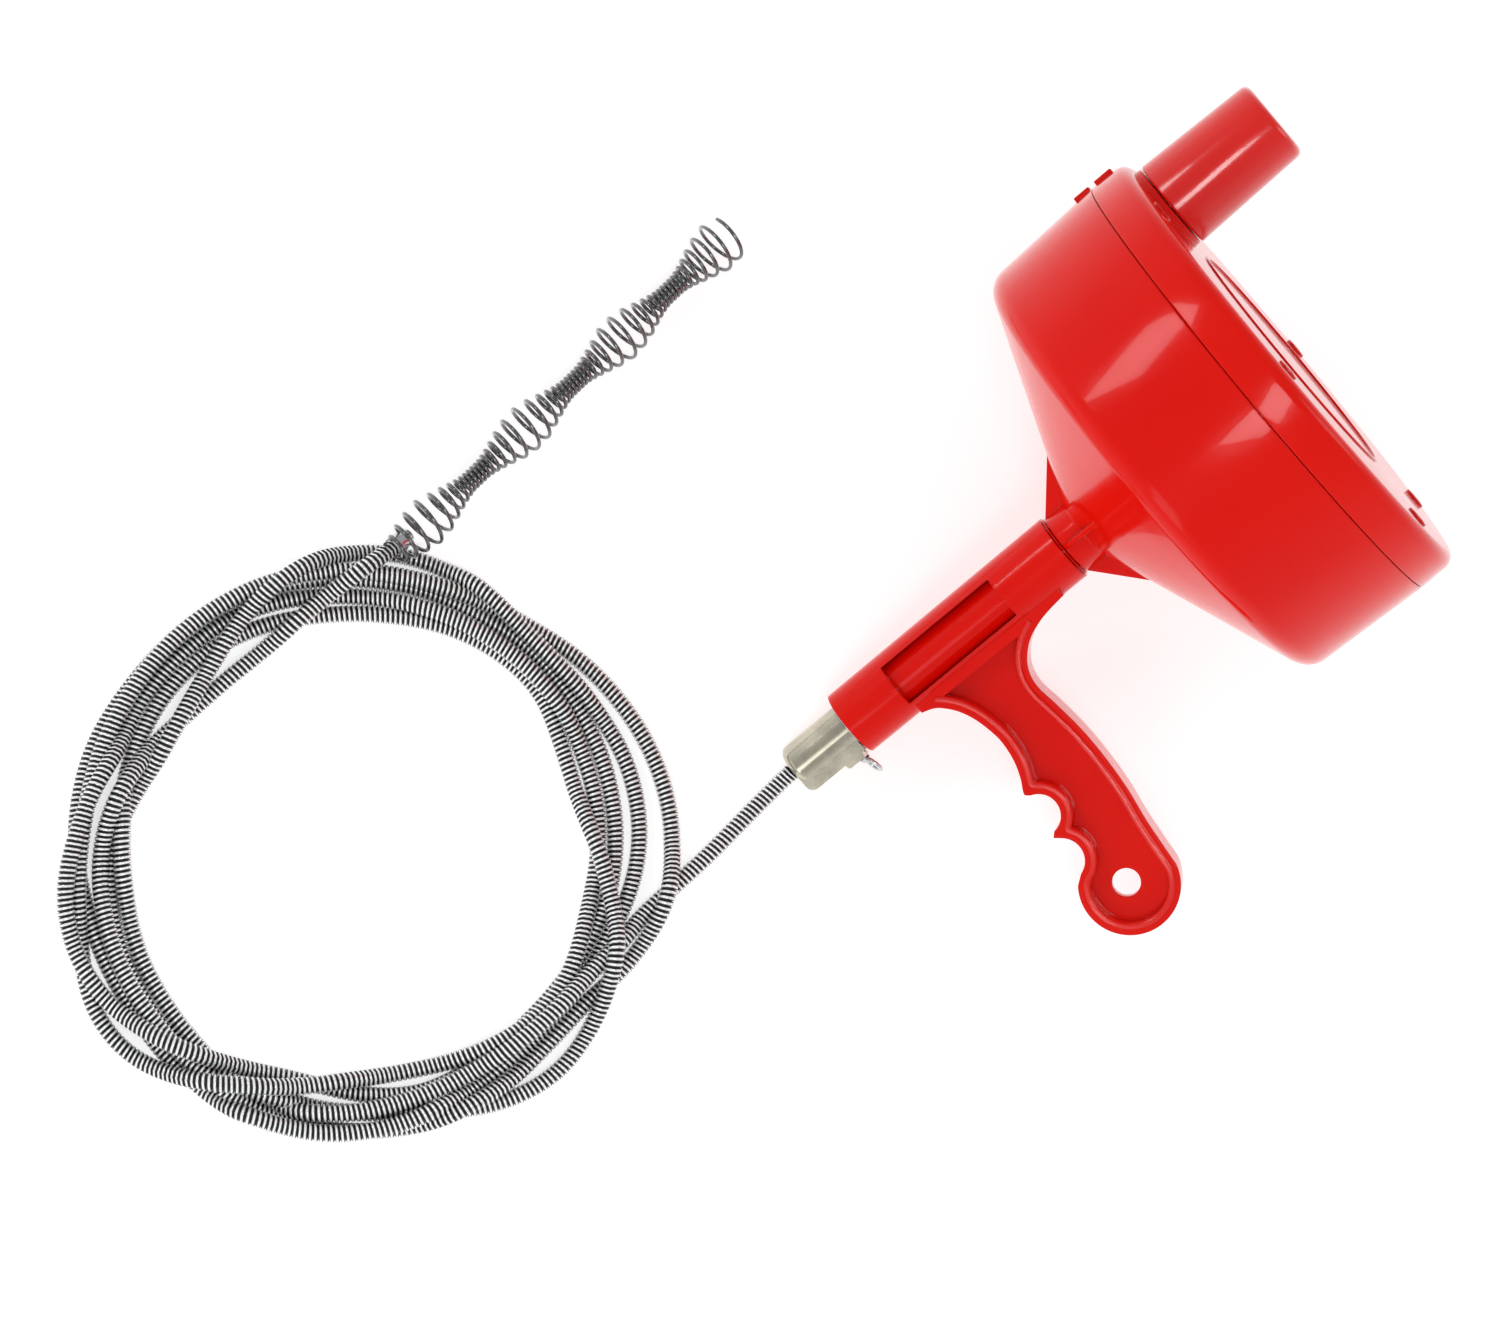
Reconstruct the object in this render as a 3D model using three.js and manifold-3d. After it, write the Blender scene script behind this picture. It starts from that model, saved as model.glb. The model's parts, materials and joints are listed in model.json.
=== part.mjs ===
// A hand-crank drum drain auger. It lies on the rim of its drum and the tip of its chuck, with the
// spring cable led out to a loose coil and on to a bulbed spring head. Millimetres, +Z up, floor at Z = 0.
//
// The tool has a frame of its own: +X runs along the drum axis from the chuck to the crank knob, with
// X = 0 on the front face of the barrel, +Y points to the knob and -Y down the pistol grip. A group tips
// that frame nose-down until the drum's front rim and the chuck's rounded nose both meet the floor.
import * as THREE from "three";
import { mergeVertices } from "three/addons/utils/BufferGeometryUtils.js";
import Module from "manifold-3d";

const wasm = await Module();
wasm.setup();

// Driving dimensions
const GAP = 0.3; // between pieces that touch
const CABLE_R = 3.175; // quarter-inch cable
const WALL = 2.4; // moulded plastic

const BARREL_LENGTH = 105.5;
const BARREL_R = 13.7;
const BORE_R = 9.7;
const WINDOW = { from: 24, to: 76.8, above: 9, below: 8.1 }; // the opening in each side of the barrel
const GRIP_THICK = 18;
const WEB_THICK = 4.5;
const GRIP_RIM = 4.6; // width of the rim round the grip's hollowed web
const WEB_TOP = -11.2; // where the web starts below the barrel
const HANG_HOLE = { x: 42.5, y: -112.8, r: 5.45 };

const NECK_R = BORE_R - GAP;
const STUB_R = 6.5; // the neck's end, inside the chuck
const CABLE_BORE_R = 4.4;
const HUB_R = 12.4;
const HUB_X = BARREL_LENGTH + 1.2; // a washer fits between barrel and hub
const CONE_X = 116; // where the cone leaves the hub
const CONE_SLOPE = 0.396; // travel along the axis for each unit of radius
const SIDE_DRAFT = 0.04;
const SEAM_X = 199.3;
const SEAM_R = 96;
const RIM_ROUND = 9.5;
const BACK_X = 215.3;
const BACK_R = 95.6;
const BACK_ROUND = 5;
const FIN = { r: 31.2, thick: 2 };
const POST = { circle: 83, r: 4.1, hole: 1.7 };
const POST_ANGLES = [30, 90, 150, 210, 270, 330]; // degrees round the axis from the knob's side
const MARK_RING = { r: 48.6, wide: 1.6, high: 0.7 };

const KNOB_Y = 72.4; // from the drum axis
const KNOB = { from: 218.1, to: 267.3, base: 17.9, end: 16.5 };
const KNOB_BOSS = { r: 17.6, to: 217.6 };
const SPINDLE_R = 2.9;

const CHUCK = { nose: -28.5, back: -1.2, r: 9.15, round: 3.5, mouth: 3.9 };
const LUG = { half: 7.1, y: -11.05 }; // the flat block on the chuck's grip side
const CLAMP = { x: -7.4, y: -3.6, lean: 16 }; // where the clamp screw meets the cable, lean in degrees

const COIL = { x: -279, y: 99.5, inner: 81.5, outer: 115.5, high: 13 };
const HEAD = { from: [-192.9, 181.9, 10], to: [-21.5, 191.2, 10.6], neck: 3.6, bulb: 8.6, last: 9.55,
  wire: 0.72, neckPitch: 1.85, bulbPitch: 5.8, spacing: 53.8, firstBulb: 6.4 };

// Where the drum's cone meets its side wall, at a depth under the surface of both.
function rimAt(depth) {
  const sideAtZero = SEAM_R - SIDE_DRAFT * SEAM_X - depth * Math.hypot(1, SIDE_DRAFT);
  const coneAtHub = CONE_X + depth * Math.hypot(1, CONE_SLOPE);
  const x = (coneAtHub + CONE_SLOPE * (sideAtZero - HUB_R)) / (1 - CONE_SLOPE * SIDE_DRAFT);
  return new THREE.Vector2(x, sideAtZero + SIDE_DRAFT * x);
}

// How the tool lies: its frame's place, and the tilt that brings both rounded edges to the floor.
const TOOL_X = -109.5;
const TOOL_Y = 18;
const noseCentre = new THREE.Vector2(CHUCK.nose + CHUCK.round, CHUCK.r - CHUCK.round);
const rimCentre = rimAt(RIM_ROUND);
const span = rimCentre.clone().sub(noseCentre);
const TILT = span.angle() + Math.asin((RIM_ROUND - CHUCK.round) / span.length());
const TOOL_Z = RIM_ROUND + rimCentre.y * Math.cos(TILT) - rimCentre.x * Math.sin(TILT);

// The stretch of cable between the chuck and the coil, in the floor's frame.
const LEAD = [
  [-135.4, 18, 7], [-140.5, 17.8, 4.9], [-147.5, 17.2, 3.7], [-157.5, 16.4, 3.35], [-171.5, 15.1, 3.35],
  [-186.5, 13.6, 3.35], [-198.3, 13.2, 3.35],
];

// Materials
const paint = (color, roughness, metalness) =>
  new THREE.MeshStandardMaterial({ color, roughness, metalness });
const redPlastic = paint(0xe3180f, 0.22, 0);
const nickel = paint(0xb9b39c, 0.28, 1);
const zinc = paint(0xc3c8cc, 0.3, 1);
const spring = paint(0x8b8f93, 0.32, 1);
const brass = paint(0xb58c3e, 0.35, 1);
const whiteNylon = paint(0xe6e3da, 0.5, 0);

// Solids
function toSolid(geometry) {
  const bare = geometry.clone();
  bare.deleteAttribute("normal");
  bare.deleteAttribute("uv");
  const merged = mergeVertices(bare, 1e-3);
  const triVerts = new Uint32Array(merged.index.array);
  return new wasm.Manifold(
    new wasm.Mesh({ numProp: 3, vertProperties: merged.attributes.position.array, triVerts }),
  );
}

function toGeometry(solid) {
  const mesh = solid.getMesh();
  const geometry = new THREE.BufferGeometry();
  geometry.setAttribute("position", new THREE.BufferAttribute(mesh.vertProperties, 3));
  geometry.setIndex(new THREE.BufferAttribute(mesh.triVerts, 1));
  geometry.computeVertexNormals();
  return geometry;
}

const join = (geometries) => geometries.map(toSolid).reduce((whole, next) => whole.add(next));

function shaped(added, removed) {
  return toGeometry(removed.map(toSolid).reduce((whole, next) => whole.subtract(next), join(added)));
}

// Profiles: a list of [x, r] corners, each rounded by its third number if it has one.
function rounded(corners, steps = 3) {
  const points = [];
  corners.forEach(([x, r, radius], i) => {
    const corner = new THREE.Vector2(x, r);
    if (!radius) return points.push(corner);
    const before = new THREE.Vector2(...corners.at(i - 1)).sub(corner).normalize();
    const after = new THREE.Vector2(...corners[(i + 1) % corners.length]).sub(corner).normalize();
    const half = Math.acos(before.dot(after)) / 2;
    const middle = before.clone().add(after).normalize();
    const centre = middle.multiplyScalar(radius / Math.sin(half)).add(corner);
    const spoke = before.multiplyScalar(radius / Math.tan(half)).add(corner).sub(centre);
    const end = after.multiplyScalar(radius / Math.tan(half)).add(corner).sub(centre);
    const turn = Math.atan2(spoke.cross(end), spoke.dot(end));
    for (let k = 0; k <= steps; k += 1) {
      points.push(spoke.clone().rotateAround(new THREE.Vector2(), (turn * k) / steps).add(centre));
    }
  });
  return points;
}

// A solid turned about the X axis. A profile that leaves the axis closes on itself.
function turned(corners, segments = 32, steps = 3) {
  const profile = rounded(corners, steps);
  if (corners[0][1] !== 0) profile.push(profile[0].clone());
  const forward = THREE.ShapeUtils.area(profile) < 0 ? profile : profile.reverse();
  const points = forward.map((p) => new THREE.Vector2(p.y, p.x));
  return new THREE.LatheGeometry(points, segments).rotateZ(-Math.PI / 2);
}

const rod = (from, to, r, segments = 12) =>
  turned([[from, 0], [from, r], [to, r], [to, 0]], segments);

const tubeRing = (from, to, inner, outer, segments = 24) =>
  turned([[from, inner], [from, outer], [to, outer], [to, inner]], segments);

const box = (x0, x1, y0, y1, z0, z1) =>
  new THREE.BoxGeometry(x1 - x0, y1 - y0, z1 - z0)
    .translate((x0 + x1) / 2, (y0 + y1) / 2, (z0 + z1) / 2);

// A flat plate of an XY outline, centred on Z = 0.
const plate = (outline, thick) =>
  new THREE.ExtrudeGeometry(new THREE.Shape(outline), { depth: thick, bevelEnabled: false })
    .translate(0, 0, -thick / 2);

// A tube of regular section along a curve.
function sweep(curve, r, sides, steps) {
  const section = new THREE.Shape();
  for (let k = 0; k < sides; k += 1) {
    const angle = (2 * Math.PI * k) / sides;
    section[k ? "lineTo" : "moveTo"](r * Math.cos(angle), r * Math.sin(angle));
  }
  section.closePath();
  return new THREE.ExtrudeGeometry(section, { steps, extrudePath: curve, bevelEnabled: false });
}

const radians = THREE.MathUtils.degToRad;
// Turns a piece made beside the knob's side of the axis round to an angle in degrees.
const aroundAxis = (geometry, degrees) => geometry.rotateX(radians(degrees));

// Handle: barrel and pistol grip in one moulding
function gripOutline() {
  const front = [[25, -13.9], [29.2, -15.3], [32.3, -17.6], [36.2, -22.5], [39.2, -29.3], [41, -37.7],
    [41.2, -43], [40.2, -50], [37.9, -56.5], [35.4, -61]];
  const rear = [[64.4, -99.5], [66.7, -85], [67.8, -70], [67.7, -56], [66.4, -43],
    [65.3, -34.5], [66.3, -28], [69.6, -22.6], [75.5, -17.9], [84, -15], [95, -13.6]];
  const vectors = (list) => list.map(([x, y]) => new THREE.Vector2(x, y));
  const outline = new THREE.Path();
  outline.moveTo(25, -9.5);
  outline.lineTo(25, -13.9);
  outline.splineThru(vectors(front.slice(1)));
  outline.lineTo(35, -62.6);
  outline.absarc(34.1, -71.9, 8.3, radians(72), radians(-86), true); // upper finger groove
  outline.lineTo(33, -81.9);
  outline.absarc(29.8, -90.6, 8.7, radians(50), radians(-74), true); // lower finger groove
  outline.absarc(43.8, -113.5, 19.4, radians(143), radians(345), false); // rounded heel
  outline.splineThru(vectors(rear));
  outline.lineTo(95, -9.5);
  return outline.getPoints(5).filter((p, i, all) => !i || p.distanceTo(all[i - 1]) > 0.2);
}

// Moves an outline inwards, leaving out the stretches that fold over at its inner corners.
function inset(outline, distance) {
  const sign = Math.sign(THREE.ShapeUtils.area(outline));
  const edgeDistance = (p) => Math.min(...outline.map((a, i) => {
    const b = outline[(i + 1) % outline.length];
    const nearest = new THREE.Line3(new THREE.Vector3(a.x, a.y), new THREE.Vector3(b.x, b.y))
      .closestPointToPoint(new THREE.Vector3(p.x, p.y), true, new THREE.Vector3());
    return Math.hypot(nearest.x - p.x, nearest.y - p.y);
  }));
  return outline
    .map((p, i) => {
      const before = outline[(i + outline.length - 1) % outline.length];
      const along = outline[(i + 1) % outline.length].clone().sub(before).normalize();
      return new THREE.Vector2(p.x - sign * along.y * distance, p.y + sign * along.x * distance);
    })
    .filter((p) => edgeDistance(p) > distance - 0.15);
}

function handleGrip() {
  const outline = gripOutline();
  const web = inset(outline, GRIP_RIM).map((p) => new THREE.Vector2(p.x, Math.min(p.y, WEB_TOP)));
  const pocketDepth = (GRIP_THICK - WEB_THICK) / 2;
  const pocketMiddle = WEB_THICK / 2 + pocketDepth;
  const pockets = [-1, 1].map((side) => plate(web, 2 * pocketDepth).translate(0, 0, side * pocketMiddle));
  const barrel = turned([[0, 0], [0, BARREL_R - 0.2, 0.6], [BARREL_LENGTH, BARREL_R + 0.1, 0.8],
    [BARREL_LENGTH, 0]], 40, 1);
  const bore = rod(-1, BARREL_LENGTH + 1, BORE_R, 40);
  const windows = box(WINDOW.from, WINDOW.to, -WINDOW.below, WINDOW.above, -BARREL_R - 5, BARREL_R + 5);
  const hole = new THREE.CylinderGeometry(HANG_HOLE.r, HANG_HOLE.r, GRIP_THICK, 24)
    .rotateX(Math.PI / 2)
    .translate(HANG_HOLE.x, HANG_HOLE.y, 0);
  return shaped([barrel, plate(outline, GRIP_THICK)], [...pockets, bore, windows, hole]);
}

// Drum: the bowl with its cone, hub and neck, and the lid
const coneAt = (r) => CONE_X + CONE_SLOPE * (r - HUB_R);

function bowlShell() {
  const coneWall = WALL * Math.hypot(1, CONE_SLOPE);
  const mouth = SEAM_X - GAP;
  const rim = rimAt(0);
  const insideRim = rimAt(WALL);
  return turned([
    [-14.5, CABLE_BORE_R], [-14.5, STUB_R], [0, STUB_R], [0, NECK_R], [HUB_X, NECK_R], [HUB_X, HUB_R],
    [CONE_X, HUB_R], [rim.x, rim.y, RIM_ROUND], [mouth, SEAM_R], [mouth, SEAM_R - WALL],
    [insideRim.x, insideRim.y, RIM_ROUND - WALL], [coneAt(CABLE_BORE_R) + coneWall, CABLE_BORE_R],
  ], 48);
}

function fin(angle) {
  const outline = [[HUB_X, HUB_R - 1], [HUB_X, HUB_R], [coneAt(FIN.r), FIN.r], [coneAt(FIN.r) + 1.5, FIN.r],
    [coneAt(HUB_R) + 1.5, HUB_R - 1]].map((p) => new THREE.Vector2(...p));
  return aroundAxis(plate(outline, FIN.thick), angle);
}

const onCircle = (geometry, circle, angle) => aroundAxis(geometry.translate(0, circle, 0), angle);

function indexLug(from, to) {
  return box(from, to, SEAM_R - 3, SEAM_R + 1.5, -4, 4);
}

function drumBowl() {
  const posts = POST_ANGLES.flatMap((angle) => [
    onCircle(rod(184, SEAM_X - 2 * GAP, POST.r, 12), POST.circle, angle),
    aroundAxis(box(184, 193.5, POST.circle, SEAM_R - 2, -1, 1), angle),
  ]);
  const holes = POST_ANGLES.map((angle) => onCircle(rod(188, 201, POST.hole, 8), POST.circle, angle));
  const anchorPost = onCircle(rod(coneAt(55), 150, 4.5, 16), 52, 225);
  const anchorHole = onCircle(rod(143, 152, 1.7, 8), 52, 225);
  const fins = [0, 90, 180, 270].map(fin);
  const clampHole = clampPlaced(rod(0, 8, 2.6, 16));
  return shaped([bowlShell(), ...fins, ...posts, anchorPost, indexLug(191.8, SEAM_X - GAP - 0.2)],
    [...holes, anchorHole, clampHole]);
}

function drumLid() {
  const inside = BACK_X - WALL;
  const shell = turned([
    [inside, 0], [inside, 88.5, 3], [194.5, 90.9], [194.5, 93], [SEAM_X, 93], [SEAM_X, SEAM_R],
    [BACK_X, BACK_R, BACK_ROUND], [BACK_X, 0],
  ], 48);
  const ring = tubeRing(BACK_X - 0.5, BACK_X + MARK_RING.high, MARK_RING.r - MARK_RING.wide / 2,
    MARK_RING.r + MARK_RING.wide / 2, 48);
  const knobBoss = rod(BACK_X - 1, KNOB_BOSS.to, KNOB_BOSS.r, 24).translate(0, KNOB_Y, 0);
  const posts = POST_ANGLES.map((angle) =>
    onCircle(rod(SEAM_X, BACK_X + 0.9, POST.r, 12), POST.circle, angle));
  const holes = POST_ANGLES.flatMap((angle) => [
    onCircle(rod(SEAM_X - 1, BACK_X + 2, POST.hole, 8), POST.circle, angle),
    onCircle(rod(BACK_X - 1.2, BACK_X + 2, 3.2, 12), POST.circle, angle),
  ]);
  const spindleHole = rod(inside - 1, KNOB_BOSS.to + 1, SPINDLE_R + GAP, 16).translate(0, KNOB_Y, 0);
  return shaped([shell, ring, knobBoss, ...posts, indexLug(SEAM_X + 2.2, 209.3)], [...holes, spindleHole]);
}

function screw(seat, length, shank, head, headHigh) {
  return turned([[seat - length, 0], [seat - length, shank], [seat, shank], [seat, head],
    [seat + headHigh, head, 0.4], [seat + headHigh, 0]], 12, 1);
}

const lidScrew = (angle) =>
  onCircle(screw(BACK_X - 1.2 + GAP, 24, 1.35, 2.8, 1.6), POST.circle, angle);

const cableAnchor = () =>
  shaped([onCircle(rod(150.3, 152.1, 7.5, 16), 52, 225)], [onCircle(rod(149, 154, 1.7, 8), 52, 225)]);

const anchorScrew = () => onCircle(screw(152.4, 8.5, 1.35, 2.9, 1.6), 52, 225);

// The rest of the cable: through the neck, out along the cone, and wound against the drum's wall
function cableInner() {
  const route = [[-27.9, 0, 0], [30, 0, 0], [80, 0, 0], [112, 0, 0], [124, -5, 1], [136, -22, 4],
    [147, -46, 10], [156, -70.5, 18]];
  const curve = new THREE.CatmullRomCurve3(route.map((p) => new THREE.Vector3(...p)));
  return sweep(curve, CABLE_R, 8, 36);
}

const cableWinding = () =>
  turned([[155, 83], [155, 77, 3], [169, 77, 3], [169, 89.3, 3], [155, 89.3, 3]], 40, 1);

// Chuck
function clampPlaced(geometry) {
  // made along +X, it then points out of the lug, leaning towards the barrel
  return geometry.rotateZ(radians(CLAMP.lean - 90)).translate(CLAMP.x, CLAMP.y, 0);
}

function chuckBody() {
  const body = turned([[CHUCK.nose, 0], [CHUCK.nose, CHUCK.r, CHUCK.round], [CHUCK.back, CHUCK.r],
    [CHUCK.back, 0]], 32);
  const lugOutline = [[CHUCK.back, 0], [CHUCK.back, LUG.y], [-2.8, LUG.y], [-2.8, LUG.y - 2.1],
    [-10.6, LUG.y - 2.1, 1.2], [-10.9, LUG.y], [CHUCK.nose + 0.6, LUG.y, 3.4], [CHUCK.nose + 0.6, 0]];
  const lug = plate(rounded(lugOutline), 2 * LUG.half);
  const mouth = rod(CHUCK.nose - 1, 0, CHUCK.mouth, 20);
  const socket = rod(-15, 0, STUB_R + GAP, 24);
  const clampHole = clampPlaced(rod(0, 16, 2.6, 16));
  const setHole = rod(0, 12, 1.9, 12).rotateY(Math.PI / 2).translate(-7.5, 0, 0);
  return shaped([body, lug], [mouth, socket, clampHole, setHole]);
}

const setScrew = () => rod(STUB_R + GAP, 8.9, 1.6, 12).rotateY(Math.PI / 2).translate(-7.5, 0, 0);

const clampShoe = () => clampPlaced(rod(0.4, 1.8, 2.3, 16));

function thumbScrew() {
  const loopR = 3.3;
  const loop = new THREE.TorusGeometry(loopR, 0.9, 6, 20).rotateX(radians(90 - 21)).translate(14.5, 0, 0);
  return toGeometry(join([loop, rod(2.1, 11.6, 2.2, 16)]).rotate([0, 0, CLAMP.lean - 90])
    .translate([CLAMP.x, CLAMP.y, 0]));
}

// Crank knob: a hollow sleeve on a plain bush that turns on a shouldered bolt
const atKnob = (geometry) => geometry.translate(0, KNOB_Y, 0);

const knobShell = () => atKnob(turned([
  [KNOB.from, KNOB.base - WALL], [KNOB.from, KNOB.base, 0.8], [KNOB.to, KNOB.end, 3], [KNOB.to, 0],
  [KNOB.to - WALL, 0], [KNOB.to - WALL, KNOB.end - WALL, 1],
], 32));

const knobBush = () => atKnob(turned([
  [KNOB.from, SPINDLE_R + GAP], [KNOB.from, KNOB.base - WALL - GAP], [221, KNOB.base - WALL - GAP - 0.1],
  [221, 6.5], [259.7, 6.2], [259.7, SPINDLE_R + GAP],
], 24));

const knobSpindle = () => atKnob(turned([[206.5, 0], [206.5, SPINDLE_R], [260, SPINDLE_R], [260, 5.2],
  [263.6, 5.2, 1], [263.6, 0]], 20, 2));

const hexRing = (from, to, inner, outer) =>
  shaped([rod(from, to, outer, 6)], [rod(from - 1, to + 1, inner, 20)]);

const spindleNut = () => atKnob(hexRing(208.2, 211.7, SPINDLE_R + GAP, 5.7));

const spindleWasher = () => atKnob(tubeRing(212, 212.6, SPINDLE_R + GAP, 7, 20));

// The free cable
class SpringHead extends THREE.Curve {
  // A spring of bulbs and necks. Its coils are laid out once, and the curve then runs along them.
  constructor() {
    super();
    const from = new THREE.Vector3(...HEAD.from);
    const axis = new THREE.Vector3(...HEAD.to).sub(from);
    this.length = axis.length();
    axis.normalize();
    const side = new THREE.Vector3(-axis.y, axis.x, 0).normalize();
    const up = new THREE.Vector3().crossVectors(axis, side);
    const stepsPerTurn = 7;
    this.points = [];
    let along = 0;
    for (let k = 0; along < this.length; k += 1) {
      const angle = (2 * Math.PI * k) / stepsPerTurn;
      const r = this.radius(along);
      this.points.push(from.clone().addScaledVector(axis, along)
        .addScaledVector(side, r * Math.cos(angle)).addScaledVector(up, -r * Math.sin(angle)));
      along += this.pitch(along) / stepsPerTurn;
    }
  }

  // 0 on a neck, 1 at the middle of a bulb
  swell(along) {
    const wave = 0.5 + 0.5 * Math.cos((2 * Math.PI * (along - HEAD.firstBulb)) / HEAD.spacing);
    return THREE.MathUtils.smoothstep(wave, 0.12, 0.92);
  }

  radius(along) {
    const bulb = along > this.length - HEAD.spacing / 2 ? HEAD.last : HEAD.bulb;
    return THREE.MathUtils.lerp(HEAD.neck, bulb, this.swell(along));
  }

  pitch(along) {
    return THREE.MathUtils.lerp(HEAD.neckPitch, HEAD.bulbPitch, this.swell(along));
  }

  getPoint(t, target = new THREE.Vector3()) {
    const place = t * (this.points.length - 1);
    const k = Math.min(Math.floor(place), this.points.length - 2);
    return target.lerpVectors(this.points[k], this.points[k + 1], place - k);
  }

  // The points stay one turn's fraction apart, and aren't spread evenly along the wire.
  getPointAt(t, target) {
    return this.getPoint(t, target);
  }

  getTangentAt(t, target) {
    return this.getTangent(t, target);
  }
}

function augerHead() {
  const curve = new SpringHead();
  return sweep(curve, HEAD.wire, 4, curve.points.length - 1);
}

function cableLead() {
  const curve = new THREE.CatmullRomCurve3(LEAD.map((p) => new THREE.Vector3(...p)));
  return sweep(curve, CABLE_R, 10, 12);
}

const cableCoil = () =>
  turned([[0, 98], [0, COIL.inner, 4], [COIL.high, COIL.inner, 5], [COIL.high, COIL.outer, 5],
    [0, COIL.outer, 4]], 56, 1).rotateY(-Math.PI / 2).translate(COIL.x, COIL.y, 0);

// Assembly
function mesh(name, geometry, material) {
  const made = new THREE.Mesh(geometry, material);
  made.name = name;
  return made;
}

const tool = new THREE.Group();
tool.position.set(TOOL_X, TOOL_Y, TOOL_Z);
tool.rotation.y = -TILT;
tool.add(
  mesh("handle_grip", handleGrip(), redPlastic),
  mesh("front_washer", tubeRing(-0.9, -GAP, STUB_R + GAP, 10.2, 24), zinc),
  mesh("rear_washer", tubeRing(BARREL_LENGTH + GAP, HUB_X - GAP, NECK_R + GAP, 13, 32), redPlastic),
  mesh("drum_bowl", drumBowl(), redPlastic),
  mesh("drum_lid", drumLid(), redPlastic),
  mesh("cable_anchor", cableAnchor(), zinc),
  mesh("anchor_screw", anchorScrew(), zinc),
  mesh("cable_inner", cableInner(), spring),
  mesh("cable_winding", cableWinding(), spring),
  mesh("chuck_body", chuckBody(), nickel),
  mesh("chuck_set_screw", setScrew(), zinc),
  mesh("clamp_shoe", clampShoe(), brass),
  mesh("thumb_screw", thumbScrew(), zinc),
  mesh("knob_spindle", knobSpindle(), zinc),
  mesh("spindle_nut", spindleNut(), zinc),
  mesh("spindle_washer", spindleWasher(), zinc),
  mesh("knob_bush", knobBush(), whiteNylon),
  mesh("knob_shell", knobShell(), redPlastic),
);
POST_ANGLES.forEach((angle, i) => tool.add(mesh(`lid_screw_${i + 1}`, lidScrew(angle), zinc)));

const group = new THREE.Group();
group.add(
  tool,
  mesh("cable_lead", cableLead(), spring),
  mesh("cable_coil", cableCoil(), spring),
  mesh("auger_head", augerHead(), spring),
);

export default group;
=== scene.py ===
"""The look of the drain auger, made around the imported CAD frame. Metres, +Z up, floor at Z = 0.

Shapes are laid out in millimetres in the tool's own frame, whose +X runs along the drum axis from the
chuck to the crank knob, and are then placed in the row's frame.
"""
import json
import math

import bmesh
import bpy
import numpy as np
from mathutils import Matrix, Vector


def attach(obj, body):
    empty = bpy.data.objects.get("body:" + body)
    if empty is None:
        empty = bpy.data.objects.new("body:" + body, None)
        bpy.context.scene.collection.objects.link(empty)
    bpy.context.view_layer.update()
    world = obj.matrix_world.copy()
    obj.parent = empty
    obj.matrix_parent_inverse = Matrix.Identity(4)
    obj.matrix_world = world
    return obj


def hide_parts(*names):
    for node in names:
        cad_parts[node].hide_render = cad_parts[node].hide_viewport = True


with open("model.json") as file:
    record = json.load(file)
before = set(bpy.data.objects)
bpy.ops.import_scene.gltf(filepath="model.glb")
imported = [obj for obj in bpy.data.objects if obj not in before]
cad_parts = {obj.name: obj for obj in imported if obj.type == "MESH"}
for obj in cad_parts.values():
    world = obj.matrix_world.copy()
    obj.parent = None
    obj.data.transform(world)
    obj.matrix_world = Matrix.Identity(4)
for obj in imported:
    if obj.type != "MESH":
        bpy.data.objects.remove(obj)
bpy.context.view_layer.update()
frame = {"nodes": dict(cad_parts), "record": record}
nodes = frame["nodes"]

MM = 0.001
CABLE_D = 6.35
CABLE_R = CABLE_D / 2

# The tool's own frame: it rests on the drum's front rim and the chuck's nose
TILT = math.radians(25.4805204966)
TOOL = Matrix.Translation(Vector((-109.5, 18.0, 19.3555387701)) * MM) @ Matrix.Rotation(-TILT, 4, "Y")

# ---------------------------------------------------------------- camera
camera_data = bpy.data.cameras.new("camera")
camera_data.lens = 99.84
camera_data.sensor_width = 36
camera_data.clip_end = 20
camera = bpy.data.objects.new("camera", camera_data)
bpy.context.scene.collection.objects.link(camera)
RIGHT = Vector((0.74290085, -0.64077991, 0.19364769))
UP = Vector((0.62006079, 0.76772463, 0.16162768))
BACK = Vector((-0.25223587, 0.0, 0.96766578))
camera.matrix_world = Matrix.Translation((-0.52440, 0.0590, 1.54825)) @ Matrix(
    (RIGHT, UP, BACK)).transposed().to_4x4()
bpy.context.scene.camera = camera


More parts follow.
